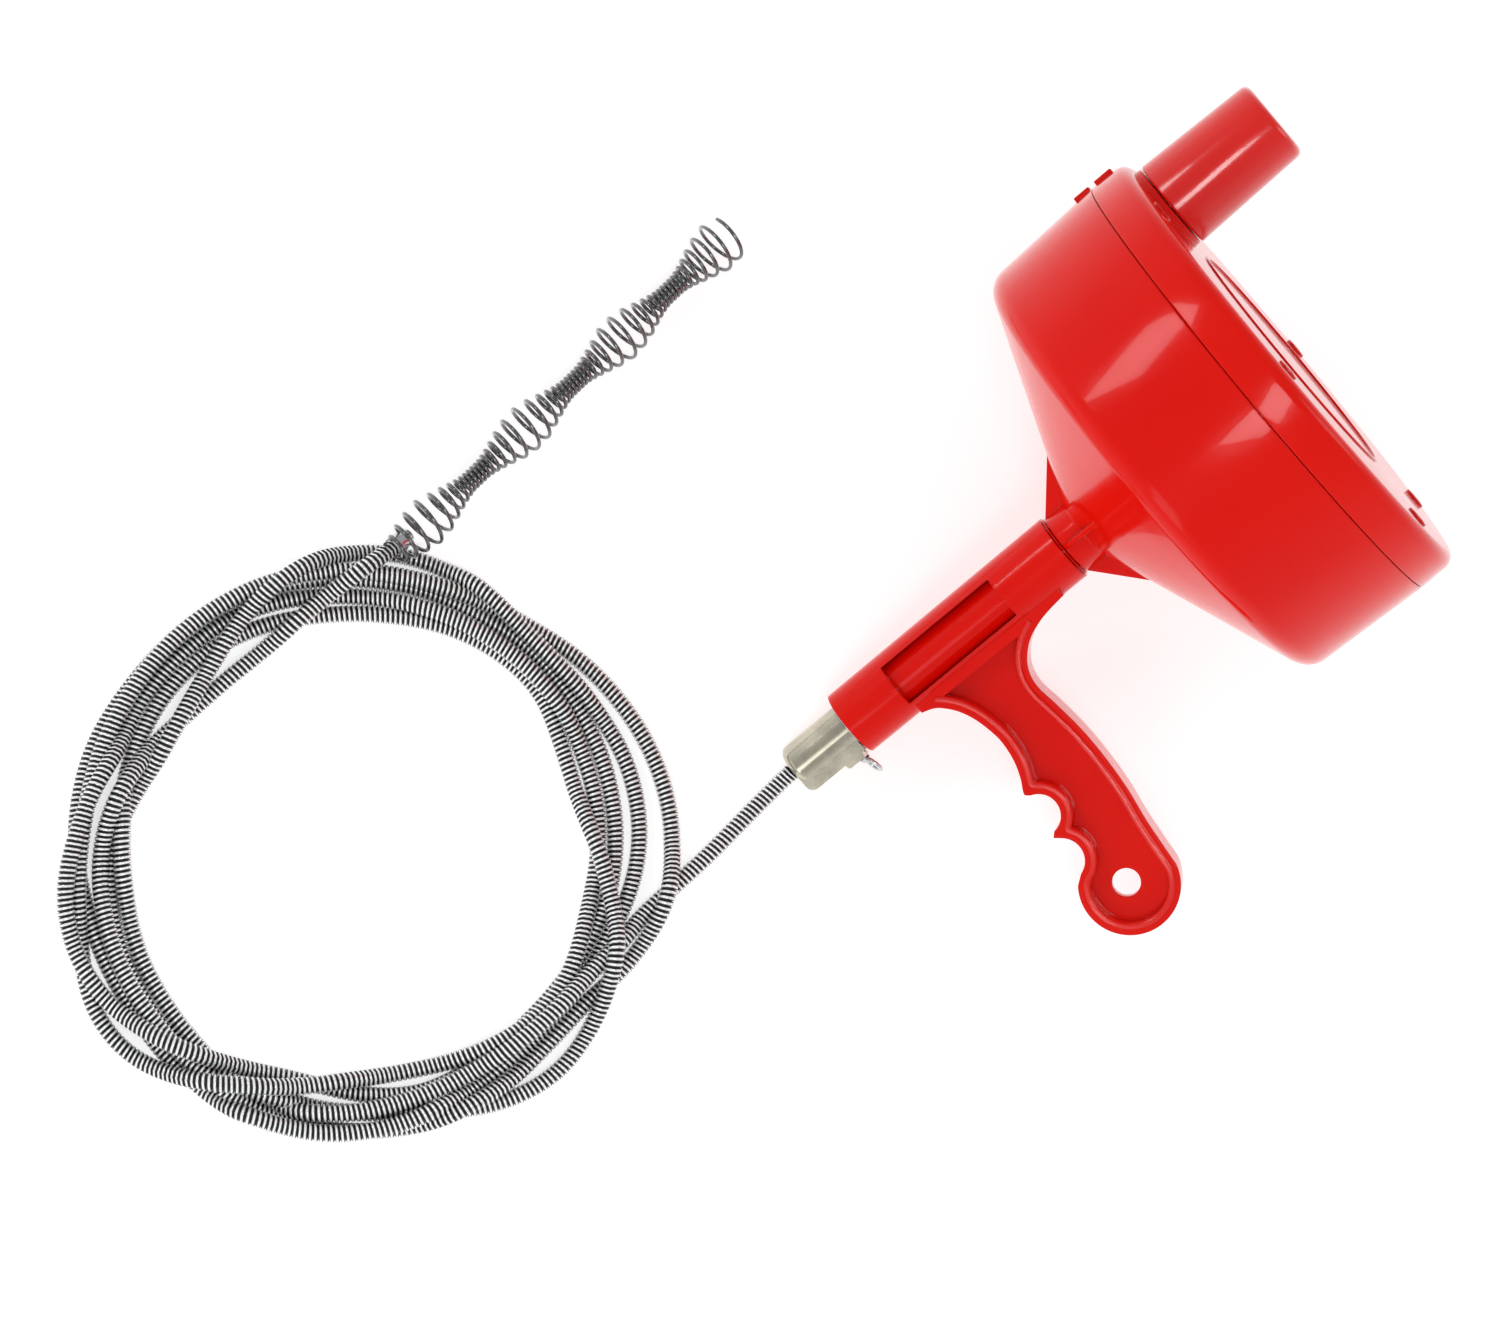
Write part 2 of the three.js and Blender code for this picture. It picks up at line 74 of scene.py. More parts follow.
# ---------------------------------------------------------------- materials
class Nodes:
    """A material's node tree with short calls to add and join nodes."""

    def __init__(self, name):
        self.material = bpy.data.materials.new(name)
        self.material.use_nodes = True
        self.tree = self.material.node_tree
        self.shader = self.tree.nodes["Principled BSDF"]

    def add(self, kind, **values):
        node = self.tree.nodes.new(kind)
        for key, value in values.items():
            if hasattr(node, key):
                setattr(node, key, value)
            else:
                node.inputs[key.replace("_", " ")].default_value = value
        return node

    def link(self, out, into):
        self.tree.links.new(out, into)

    def set(self, **values):
        for key, value in values.items():
            self.shader.inputs[key.replace("_", " ")].default_value = value

    def noise(self, scale, detail=3.0, rough=0.55, vector=None):
        node = self.add("ShaderNodeTexNoise")
        node.inputs["Scale"].default_value = scale
        node.inputs["Detail"].default_value = detail
        node.inputs["Roughness"].default_value = rough
        self.link(vector or self.object_coords(), node.inputs["Vector"])
        return node.outputs["Fac"]

    def object_coords(self):
        return self.add("ShaderNodeTexCoord").outputs["Object"]

    def ramp(self, fac, stops):
        node = self.add("ShaderNodeValToRGB")
        ramp = node.color_ramp
        while len(ramp.elements) < len(stops):
            ramp.elements.new(0.5)
        for element, (place, color) in zip(ramp.elements, stops):
            element.position = place
            element.color = (*color, 1) if len(color) == 3 else color
        self.link(fac, node.inputs["Fac"])
        return node.outputs["Color"]

    def map(self, fac, low, high):
        node = self.add("ShaderNodeMapRange")
        node.inputs["To Min"].default_value = low
        node.inputs["To Max"].default_value = high
        self.link(fac, node.inputs["Value"])
        return node.outputs["Result"]

    def bump(self, height, strength, distance, normal=None):
        node = self.add("ShaderNodeBump")
        node.inputs["Strength"].default_value = strength
        node.inputs["Distance"].default_value = distance
        self.link(height, node.inputs["Height"])
        if normal:
            self.link(normal, node.inputs["Normal"])
        self.link(node.outputs["Normal"], self.shader.inputs["Normal"])
        return node.outputs["Normal"]


def red_plastic(name="red_plastic", ior=1.2, coat=0.4):
    n = Nodes(name)
    drift = n.noise(9.0, 2.0)
    tone = n.ramp(drift, [(0.3, (0.73, 0.004, 0.001)), (0.7, (0.79, 0.007, 0.001))])
    n.link(tone, n.shader.inputs["Base Color"])
    scuff = n.noise(60.0, 6.0, 0.7)
    n.link(n.map(scuff, 0.10, 0.24), n.shader.inputs["Roughness"])
    n.set(IOR=ior, Coat_Weight=coat, Coat_Roughness=0.03, Coat_IOR=1.3)
    n.set(Subsurface_Weight=0.04, Subsurface_Scale=0.002, Subsurface_Radius=(1.0, 0.12, 0.08))
    ripple = n.noise(90.0, 1.0)
    peel = n.noise(900.0, 2.0)
    edge = n.add("ShaderNodeBevel", samples=6)
    edge.inputs["Radius"].default_value = 0.0012
    first = n.bump(ripple, 0.10, 0.0012, edge.outputs["Normal"])
    n.bump(peel, 0.03, 0.0002, first)
    return n.material


def metal(name, color, rough, grain, scale, spread, oiled=False):
    """Metal whose colour falls by the spread and whose roughness rises where it is tarnished."""
    n = Nodes(name)
    where = n.object_coords()
    tarnish = n.noise(scale, 5.0, 0.6, where)
    dark = tuple(c * (1 - spread) for c in color)
    n.link(n.ramp(tarnish, [(0.35, dark), (0.65, color)]), n.shader.inputs["Base Color"])
    n.link(n.map(tarnish, rough - 0.06, rough + 0.1), n.shader.inputs["Roughness"])
    n.set(Metallic=1.0)
    if oiled:
        n.set(Coat_Weight=1.0, Coat_Roughness=0.08, Coat_IOR=1.8)
    n.bump(n.noise(scale * 9, 4.0, 0.6, where), grain, 0.00003)
    return n.material


def nylon():
    n = Nodes("white_nylon")
    tone = n.ramp(n.noise(40.0), [(0.3, (0.80, 0.78, 0.72)), (0.7, (0.88, 0.87, 0.83))])
    n.link(tone, n.shader.inputs["Base Color"])
    n.link(n.map(n.noise(200.0), 0.38, 0.5), n.shader.inputs["Roughness"])
    n.set(Subsurface_Weight=0.1, Subsurface_Scale=0.002)
    n.bump(n.noise(700.0), 0.05, 0.0001)
    return n.material


def wound_steel():
    """Spring wire whose base colour is painted near black in the grooves where its turns meet, as painted
    shade.
    """
    n = Nodes("wound_spring_steel")
    painted_groove_shade = n.add("ShaderNodeAttribute", attribute_name="painted_groove_shade").outputs["Fac"]
    tarnish = n.noise(25.0, 4.0)
    bright = n.ramp(tarnish, [(0.35, (0.93, 0.94, 0.95)), (0.65, (1.0, 1.0, 1.0))])
    # inputs 6 and 7 and output 2 are the colour mix's own
    mix = n.add("ShaderNodeMix", data_type="RGBA")
    # painted shade: the grooves between the turns get a near black base colour
    n.link(n.ramp(painted_groove_shade, [(0.35, (0, 0, 0)), (0.62, (1, 1, 1))]), mix.inputs[0])
    n.link(bright, mix.inputs[6])
    mix.inputs[7].default_value = (0.004, 0.004, 0.005, 1)
    n.link(mix.outputs[2], n.shader.inputs["Base Color"])
    n.link(n.map(n.noise(300.0, 3.0), 0.2, 0.36), n.shader.inputs["Roughness"])
    n.set(Metallic=0.4)
    n.bump(n.noise(1500.0, 3.0), 0.05, 0.00003)
    return n.material


RED = red_plastic()
RED_POLISHED = red_plastic("red_plastic_polished", 1.45, 0.8)
WOUND = wound_steel()
STEEL = metal("spring_steel", (0.50, 0.51, 0.53), 0.24, 0.10, 160.0, 0.35)
HEAD_STEEL = metal("head_wire", (0.10, 0.10, 0.105), 0.14, 0.08, 160.0, 0.3, oiled=True)
NICKEL = metal("nickel_plate", (0.64, 0.60, 0.48), 0.15, 0.10, 90.0, 0.25)
ZINC = metal("zinc_plate", (0.70, 0.72, 0.75), 0.24, 0.10, 150.0, 0.2)
BRASS = metal("brass", (0.70, 0.52, 0.24), 0.26, 0.10, 150.0, 0.2)
NYLON = nylon()
BY_SLOT = {"red_plastic": RED, "spring_steel": STEEL, "nickel_plate": NICKEL, "zinc_plate": ZINC,
           "brass": BRASS, "white_nylon": NYLON}


# ---------------------------------------------------------------- mesh helpers
def make(name, verts, faces, material, matrix=TOOL, sharp=30.0):
    """A smooth-shaded object from millimetre vertices, placed by a matrix."""
    mesh = bpy.data.meshes.new(name)
    mesh.from_pydata([tuple(c * MM for c in v) for v in verts], [], faces)
    mesh.transform(matrix)
    mesh.materials.append(material)
    obj = bpy.data.objects.new(name, mesh)
    bpy.context.scene.collection.objects.link(obj)
    recalculate(mesh)
    shade(mesh, sharp)
    return obj


def recalculate(mesh):
    b = bmesh.new()
    b.from_mesh(mesh)
    bmesh.ops.recalc_face_normals(b, faces=b.faces)
    b.to_mesh(mesh)
    b.free()


def shade(mesh, sharp):
    mesh.polygons.foreach_set("use_smooth", [True] * len(mesh.polygons))
    mesh.set_sharp_from_angle(angle=math.radians(sharp))


class Shape:
    """Vertices and faces in millimetres, gathered from several solids."""

    def __init__(self):
        self.verts = []
        self.faces = []

    def add(self, verts, faces):
        start = len(self.verts)
        self.verts += [tuple(v) for v in verts]
        self.faces += [tuple(start + i for i in f) for f in faces]
        return self

    def moved(self, matrix):
        self.verts = [tuple(matrix @ Vector(v)) for v in self.verts]
        return self

    def joined(self, *others):
        for other in others:
            self.add(other.verts, other.faces)
        return self


def rounded(corners, steps=6, closed=True):
    """Rounds the corners of a 2-D profile whose third number is a radius."""
    points = []
    count = len(corners)
    for i, corner in enumerate(corners):
        here = Vector(corner[:2])
        radius = corner[2] if len(corner) > 2 else 0
        if not radius or (not closed and i in (0, count - 1)):
            points.append(here)
            continue
        before = (Vector(corners[i - 1][:2]) - here).normalized()
        after = (Vector(corners[(i + 1) % count][:2]) - here).normalized()
        half = before.angle(after) / 2
        centre = here + (before + after).normalized() * (radius / math.sin(half))
        first = here + before * (radius / math.tan(half)) - centre
        last = here + after * (radius / math.tan(half)) - centre
        turn = math.atan2(first.x * last.y - first.y * last.x, first.dot(last))
        for k in range(steps + 1):
            a = turn * k / steps
            c, s = math.cos(a), math.sin(a)
            points.append(centre + Vector((c * first.x - s * first.y, s * first.x + c * first.y)))
    return points


def turned(corners, segments=128, steps=6, closed=True):
    """A profile of (x, r[, radius]) corners turned about X. Ends on the axis are closed to a point."""
    shape = Shape()
    profile = rounded(corners, steps, closed)
    rings = []
    for p in profile:
        if abs(p.y) < 1e-9:
            shape.verts.append((p.x, 0.0, 0.0))
            rings.append([len(shape.verts) - 1] * segments)
            continue
        start = len(shape.verts)
        for k in range(segments):
            a = 2 * math.pi * k / segments
            shape.verts.append((p.x, p.y * math.cos(a), p.y * math.sin(a)))
        rings.append(list(range(start, start + segments)))
    pairs = list(zip(rings, rings[1:]))
    if closed:
        pairs.append((rings[-1], rings[0]))
    for low, high in pairs:
        for k in range(segments):
            n = (k + 1) % segments
            face = []
            for i in (low[k], low[n], high[n], high[k]):
                if i not in face:
                    face.append(i)
            if len(face) > 2:
                shape.faces.append(tuple(face))
    return shape


def rod(x0, x1, r, segments=48, edge=0.0):
    return turned([(x0, 0), (x0, r, edge), (x1, r, edge), (x1, 0)], segments, 3, closed=False)


def ring(x0, x1, inner, outer, segments=96, edge=0.0):
    return turned([(x0, inner, edge), (x0, outer, edge), (x1, outer, edge), (x1, inner, edge)], segments, 3)


def plate(outline, thick):
    """A flat plate of an XY outline, centred on Z = 0."""
    shape = Shape()
    n = len(outline)
    shape.verts = [(p[0], p[1], z) for z in (-thick / 2, thick / 2) for p in outline]
    shape.faces = [tuple(range(n - 1, -1, -1)), tuple(range(n, 2 * n))]
    shape.faces += [(i, (i + 1) % n, n + (i + 1) % n, n + i) for i in range(n)]
    return shape


def block(x0, x1, y0, y1, z0, z1):
    return plate([(x0, y0), (x1, y0), (x1, y1), (x0, y1)], z1 - z0).moved(
        Matrix.Translation((0, 0, (z0 + z1) / 2)))


def about_axis(degrees):
    return Matrix.Rotation(math.radians(degrees), 4, "X")


def on_circle(shape, circle, degrees):
    return shape.moved(about_axis(degrees) @ Matrix.Translation((0, circle, 0)))


def solid_object(name, shape):
    mesh = bpy.data.meshes.new(name)
    mesh.from_pydata(shape.verts, [], shape.faces)
    recalculate(mesh)
    obj = bpy.data.objects.new(name, mesh)
    bpy.context.scene.collection.objects.link(obj)
    return obj


def carved(name, base, steps, material, edge, segments=3, limit=28.0):
    """Joins and cuts solids in millimetres, rounds the edges left, and places the result."""
    obj = solid_object(name, base)
    cutters = []
    for operation, shape in steps:
        cutter = solid_object("cutter", shape)
        cutters.append(cutter)
        modifier = obj.modifiers.new(operation, "BOOLEAN")
        modifier.operation = operation
        modifier.solver = "EXACT"
        modifier.object = cutter
    weld = obj.modifiers.new("weld", "WELD")
    weld.merge_threshold = 0.02
    if edge:
        bevel = obj.modifiers.new("bevel", "BEVEL")
        bevel.width = edge
        bevel.segments = segments
        bevel.limit_method = "ANGLE"
        bevel.angle_limit = math.radians(limit)
        bevel.use_clamp_overlap = True
        bevel.miter_outer = "MITER_ARC"
    depsgraph = bpy.context.evaluated_depsgraph_get()
    mesh = bpy.data.meshes.new_from_object(obj.evaluated_get(depsgraph))
    bpy.data.objects.remove(obj)
    for cutter in cutters:
        bpy.data.objects.remove(cutter)
    mesh.transform(TOOL @ Matrix.Scale(MM, 4))
    mesh.materials.clear()
    mesh.materials.append(material)
    made = bpy.data.objects.new(name, mesh)
    bpy.context.scene.collection.objects.link(made)
    shade(mesh, 30)
    weighted = made.modifiers.new("normals", "WEIGHTED_NORMAL")
    weighted.keep_sharp = True
    return made


def placed(name, shape, material, body, slot, *replaced, sharp=30.0):
    obj = make(name, shape.verts, shape.faces, material, TOOL, sharp)
    return settle(obj, body, slot, *replaced)


def settle(obj, body, slot, *replaced):
    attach(obj, body)
    if replaced:
        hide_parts(*replaced)
    return obj


# ---------------------------------------------------------------- free cable
# Its turns on the floor, as radii round the coil's middle: {degrees clockwise from +X: mm}, turn by turn.
# They were read one by one, and their tenths are interpolation and not accuracy.
COIL_X, COIL_Y = -279.0, 99.5
LEAD = [(-135.4, 18, 7.0), (-140.5, 17.8, 5.1), (-147.5, 17.2, 4.0), (-157.5, 16.4, 3.6),
        (-171.5, 15.1, 3.5), (-181.5, 14.2, 3.5)]
LEAD_IN = [(43.7, 124), (46.5, 118), (50.5, 112), (54, 107), (57.5, 104)]
TURNS = [
    {60: 102, 70: 95.7, 80: 93.2, 90: 92.5, 100: 92.7, 120: 96.6, 140: 102, 160: 102.8, 170: 100.2, 180: 97.2,
     190: 95.1, 200: 93.4, 220: 91.8, 240: 93.3, 260: 94.9, 280: 92, 300: 88.3, 320: 88, 340: 88.7},
    {0: 87.2, 10: 83.6, 20: 81.4, 30: 82, 40: 85.5, 50: 91.5, 60: 98.6, 70: 103.5, 80: 108.3, 90: 110.7,
     100: 109, 110: 105, 120: 101, 140: 100.5, 160: 103, 180: 102.7, 200: 99.5, 220: 94.2, 230: 90, 240: 85.8,
     250: 83.9, 260: 85.4, 270: 89.7, 280: 96.5, 290: 103.3, 300: 108.2, 310: 111.2, 320: 110.4, 330: 107,
     340: 102.5, 350: 99.2},
    {0: 99.1, 20: 103.1, 40: 102.7, 60: 97.5, 80: 94, 100: 97.2, 120: 104, 140: 109.4, 160: 109.8, 180: 105.6,
     200: 106.8, 220: 108, 240: 107.6, 260: 105.2, 280: 104.6, 300: 102.2, 320: 99.4, 340: 97.7},
    {0: 96, 20: 94.8, 40: 93.6, 60: 91.5, 80: 89.8, 100: 90.7, 120: 94.8, 140: 91.8, 150: 92, 160: 96.2,
     170: 102.8, 180: 108.5, 190: 113.9, 200: 115.7, 210: 113.8, 220: 108.6, 240: 100.3, 260: 99.8, 280: 99.4,
     300: 95.5, 320: 92.2, 340: 90.6},
    {0: 89.5, 20: 88.5, 40: 87, 60: 86.6, 80: 90.2, 100: 88.4, 120: 85.9, 130: 87.3, 140: 91, 150: 97,
     160: 104.2, 170: 112.6, 180: 118.2, 190: 117.7, 200: 112.5, 210: 109, 220: 106.5, 240: 104.6, 260: 105,
     280: 105, 300: 104, 320: 101.6, 340: 102.3},
    {0: 108, 10: 110.8, 20: 113.4, 30: 115.1, 40: 115.4, 50: 113.9, 60: 109.7, 70: 104, 80: 99.3, 90: 99.8,
     100: 102.8, 120: 105.7, 140: 107.3, 160: 105.5, 180: 103.8, 200: 102, 220: 98.5, 240: 89.6, 250: 85,
     260: 82, 270: 81.3, 280: 82.4, 290: 86.8, 300: 94.5, 306: 100.5, 312: 108},
]
COIL_END = [(316, 116)]
# How high each turn starts in the heap, before it is settled: {degrees: level}. These are guesses.
LEVELS = [
    {0: 0, 55: 0.1, 60: 0.4, 70: 1.6, 80: 2.2, 100: 2.6, 120: 0.8, 140: 0.3, 160: 0, 180: 0.1, 200: 1.2,
     220: 1.5, 240: 0.5, 260: 0, 280: 0, 300: 0, 320: 0, 340: 0.3},
    {0: 0.4, 30: 1.5, 50: 3.6, 60: 4, 80: 3.5, 100: 1.6, 120: 0.6, 140: 0, 160: 0.2, 180: 0.2, 200: 0.5,
     220: 0.7, 240: 1.8, 260: 3, 280: 3.5, 300: 3, 320: 1, 340: 0.5},
    {0: 0.2, 30: 0.2, 60: 0.8, 80: 1, 100: 0.9, 120: 3.2, 140: 3.4, 160: 2.6, 180: 1, 200: 0.4, 220: 0.3,
     260: 0.3, 300: 0.3, 340: 0.3},
    {0: 0.5, 30: 0.6, 60: 0.9, 80: 0.8, 100: 0.6, 120: 0.4, 140: 1.6, 160: 3.6, 180: 4.2, 200: 3.5, 220: 1.5,
     240: 0.6, 260: 0.6, 280: 0.8, 300: 0.8, 320: 0.6, 340: 0.6},
    {0: 0.8, 30: 0.9, 60: 1.2, 80: 1.1, 100: 1.1, 120: 1, 140: 3.2, 160: 4.6, 180: 3.5, 200: 1, 220: 0.6,
     240: 0.6, 260: 0.7, 280: 0.6, 300: 0.5, 320: 0.4, 340: 0.3},
    {0: 0.2, 30: 0.2, 50: 0.8, 60: 2, 80: 2, 100: 2.2, 108: 2.6, 120: 2.2, 140: 1.8, 160: 1.3, 180: 0.6,
     200: 0.6, 220: 0.9, 240: 1.3, 260: 1.6, 280: 2.5, 290: 4.2, 300: 5, 312: 5, 320: 5},
]


def through(x, y):
    """A smooth curve through points, as a function: cubic with slopes taken from the neighbours."""
    x, y = np.asarray(x, float), np.asarray(y, float)
    slope = np.gradient(y, x)

    def at(q):
        q = np.clip(q, x[0], x[-1])
        i = np.clip(np.searchsorted(x, q, "right") - 1, 0, len(x) - 2)
        h = x[i + 1] - x[i]
        t = (q - x[i]) / h
        a, b = y[i], y[i + 1]
        return ((2 * t**3 - 3 * t**2 + 1) * a + (t**3 - 2 * t**2 + t) * h * slope[i]
                + (3 * t**2 - 2 * t**3) * b + (t**3 - t**2) * h * slope[i + 1])

    return at


def even(points, step):
    """The same line with its points a step apart, smoothly interpolated."""
    points = np.asarray(points, float)
    along = np.concatenate([[0], np.cumsum(np.linalg.norm(np.diff(points, axis=0), axis=1))])
    count = max(2, int(round(along[-1] / step)) + 1)
    places = np.linspace(0, along[-1], count)
    return np.stack([through(along, points[:, k])(places) for k in range(3)], axis=1)


def softened(line, reach=4):
    """The line with short wobbles taken out, by averaging over some points each way."""
    weights = np.exp(-0.5 * (np.arange(-2 * reach, 2 * reach + 1) / (reach / 1.5)) ** 2)
    weights /= weights.sum()
    padded = np.concatenate([np.repeat(line[:1], 2 * reach, axis=0), line,
                             np.repeat(line[-1:], 2 * reach, axis=0)])
    return np.stack([np.convolve(padded[:, k], weights, "valid") for k in range(3)], axis=1)


LEVEL_RISE = 3.4  # starting height of one level
POINT_SPACING = 4.0
HELD = 9  # this many points come out of the chuck and stay where they are
SETTLING_STEPS = 460
LOWEST = CABLE_R + 0.3


def coil_route():
    """The centreline from the chuck to the head, with its turns settled towards a heap on the floor.

    The settling doesn't part the turns fully. Most overlap by less than 0.4 mm or not at all, and at the
    worst crossing their middles are 2.9 mm apart, where 6.35 mm would be touching.
    """
    last_turn = 360 * (len(TURNS) - 1)
    angles = [a for a, _ in LEAD_IN] + [360 * t + a for t, turn in enumerate(TURNS) for a in turn]
    angles += [last_turn + a for a, _ in COIL_END]
    radii = [r for _, r in LEAD_IN] + [r for turn in TURNS for r in turn.values()]
    radii += [r for _, r in COIL_END]
    level_at = through([360 * t + a for t, turn in enumerate(LEVELS) for a in turn],
                       [v for turn in LEVELS for v in turn.values()])
    radius_at = through(angles, radii)
    phi = np.arange(angles[0], angles[-1], 2.0)
    r = radius_at(phi)
    turn = np.radians(phi)
    levels = level_at(phi)
    coil = np.stack([COIL_X + r * np.cos(turn), COIL_Y - r * np.sin(turn), CABLE_R + LEVEL_RISE * levels],
                    axis=1)
    line = even(np.array(LEAD + [tuple(p) for p in coil]), POINT_SPACING)
    anchor = line.copy()
    n = len(line)
    index = np.arange(n)
    for step in range(SETTLING_STEPS):
        if step % 50 == 30:
            line[HELD:-4] = softened(line)[HELD:-4]
        if step % 8 == 0:
            # pairs of points that could touch, found again now and then as the turns move
            flat = line[:, None, :2] - line[None, :, :2]
            near = (np.hypot(flat[..., 0], flat[..., 1]) < CABLE_D + 3) & (index[None] - index[:, None] > 6)
            a, b = np.nonzero(near)
        line[HELD:, 2] -= 0.05
        apart = line[b] - line[a]
        distance = np.maximum(np.linalg.norm(apart, axis=1), 1e-6)
        push = np.maximum(CABLE_D * 1.01 - distance, 0)[:, None] * apart / distance[:, None] * 0.3
        push[:, :2] *= 0.22
        move = np.zeros_like(line)
        count = np.zeros(n)
        np.add.at(move, b, push)
        np.add.at(move, a, -push)
        np.add.at(count, b, push[:, 2] != 0)
        np.add.at(count, a, push[:, 2] != 0)
        line += move / np.maximum(count, 1)[:, None] * 1.4
        for _ in range(4):
            bend = np.zeros_like(line)
            bend[2:-2] = (-line[:-4] + 4 * line[1:-3] - 6 * line[2:-2] + 4 * line[3:-1] - line[4:]) / 16
            line += bend * 0.8
        line[:, :2] += (anchor[:, :2] - line[:, :2]) * 0.06
        line[:HELD] = anchor[:HELD]
        line[HELD:, 2] = np.maximum(line[HELD:, 2], LOWEST)
    return line


def frames(line):
    """Tangents and two normals carried along a line without twist."""
    tangent = np.gradient(line, axis=0)
    tangent /= np.linalg.norm(tangent, axis=1)[:, None]
    normal = np.zeros_like(line)
    first = np.cross(tangent[0], (0, 0, 1.0))
    normal[0] = first / np.linalg.norm(first)
    for i in range(1, len(line)):
        v = normal[i - 1] - tangent[i] * np.dot(normal[i - 1], tangent[i])
        normal[i] = v / np.linalg.norm(v)
    return tangent, normal, np.cross(tangent, normal)


CREST_HEIGHT = 0.25  # how far the crests stand past the nominal radius, so that the turns can be seen
WIRE_PITCH = 1.95
GROOVE_DEPTH = 0.95
# One pitch from crest to crest: places along it, shares of the groove's depth, and how much shade is painted
# there
ROW_PLACES = np.array([0, 0.32, 0.5, 0.68])
ROW_DEPTHS = np.array([0, 0.22, 1, 0.22])
ROW_PAINTED_SHADE = np.array([0, 0.65, 1, 0.85])
ROWS = len(ROW_PLACES)


def wound_tube(line, radius, pitch, depth, sides=8):
    """A close-wound spring's surface along a line: a groove runs round it once in each pitch."""
    line = np.asarray(line, float)
    along = np.concatenate([[0], np.cumsum(np.linalg.norm(np.diff(line, axis=0), axis=1))])
    _, normal, side = frames(line)
    total = along[-1]
    rows = int(total / pitch - 1) * ROWS
    i, j = np.meshgrid(np.arange(rows), np.arange(sides), indexing="ij")
    place = (i // ROWS + ROW_PLACES[i % ROWS] + j / sides) * pitch
    r = radius - depth * ROW_DEPTHS[i % ROWS]
    angle = 2 * np.pi * j / sides

    def at(values):
        return np.stack([np.interp(place, along, values[:, k]) for k in range(3)], axis=-1)

    verts = (at(line) + at(normal) * (r * np.cos(angle))[..., None]
             + at(side) * (r * np.sin(angle))[..., None])
    verts = verts.reshape(-1, 3)
    # painted shade: how dark each row's base colour is painted, black at the bottom of the groove
    painted_groove_shade = ROW_PAINTED_SHADE[i % ROWS].ravel()
    i, j = i[:-ROWS].ravel(), j[:-ROWS].ravel()
    # the surface is a screw, so each row's last side joins the row one pitch on
    last = j == sides - 1
    a = i * sides + j
    b = np.where(last, (i + ROWS) * sides, a + 1)
    c = np.where(last, (i + ROWS + 1) * sides, a + 1 + sides)
    keep = c < rows * sides
    faces = np.stack([a, b, c, a + sides], axis=1)[keep]
    return verts, faces, painted_groove_shade


def numpy_mesh(name, verts, faces, material, painted_groove_shade):
    mesh = bpy.data.meshes.new(name)
    mesh.vertices.add(len(verts))
    mesh.vertices.foreach_set("co", (verts * MM).astype(np.float32).ravel())
    mesh.loops.add(faces.size)
    mesh.loops.foreach_set("vertex_index", faces.astype(np.int32).ravel())
    mesh.polygons.add(len(faces))
    mesh.polygons.foreach_set("loop_start", np.arange(0, faces.size, faces.shape[1], dtype=np.int32))
    mesh.update(calc_edges=True)
    # the painted shade of each vertex in the grooves, read by the wire's material
    attribute = mesh.attributes.new("painted_groove_shade", "FLOAT", "POINT")
    attribute.data.foreach_set("value", painted_groove_shade.astype(np.float32))
    recalculate(mesh)
    mesh.polygons.foreach_set("use_smooth", [True] * len(mesh.polygons))
    mesh.materials.append(material)
    obj = bpy.data.objects.new(name, mesh)
    bpy.context.scene.collection.objects.link(obj)
    return obj


route = coil_route()
fine = even(route, 1.0)
verts, faces, painted_groove_shade = wound_tube(fine, CABLE_R + CREST_HEIGHT, WIRE_PITCH, GROOVE_DEPTH)
cable = numpy_mesh("free_cable", verts, faces, WOUND, painted_groove_shade)


# ---------------------------------------------------------------- auger head
HEAD_FROM, HEAD_TO = Vector((-202.6, 177.6, 15.0)), Vector((-19.4, 193.0, 10.6))
HEAD_LENGTH = (HEAD_TO - HEAD_FROM).length
NECK_R, BULB_R, LAST_R, HEAD_WIRE = 3.5, 8.8, 9.5, 0.78
NECK_PITCH, BULB_PITCH, SPACING, FIRST_BULB = 1.95, 6.4, 53.6, 17.0


def swell(along):
    """0 on a neck and 1 at a bulb's middle, with nearly straight flanks."""
    phase = (along - FIRST_BULB) / SPACING
    t = abs(2 * (phase - math.floor(phase)) - 1)
    t = min(max((t - 0.14) / 0.8, 0), 1)
    return 0.45 * t + 0.55 * t * t * (3 - 2 * t)


def head_line(per_turn=24):
    axis = (HEAD_TO - HEAD_FROM).normalized()
    side = Vector((-axis.y, axis.x, 0)).normalized()
    up = axis.cross(side)
    points = []
    along, k = 0.0, 0
    while along < HEAD_LENGTH:
        a = 2 * math.pi * k / per_turn
        s = swell(along)
        bulb = LAST_R if along > HEAD_LENGTH - SPACING / 2 else BULB_R
        r = NECK_R + (bulb - NECK_R) * s
        # a bulb's turns are never quite alike
        r *= 1 + 0.02 * math.sin(1.7 * along) * s
        points.append(HEAD_FROM + axis * along + side * (r * math.cos(a)) - up * (r * math.sin(a)))
        along += (NECK_PITCH + (BULB_PITCH - NECK_PITCH) * s) / per_turn
        k += 1
    return np.array([tuple(p) for p in points])


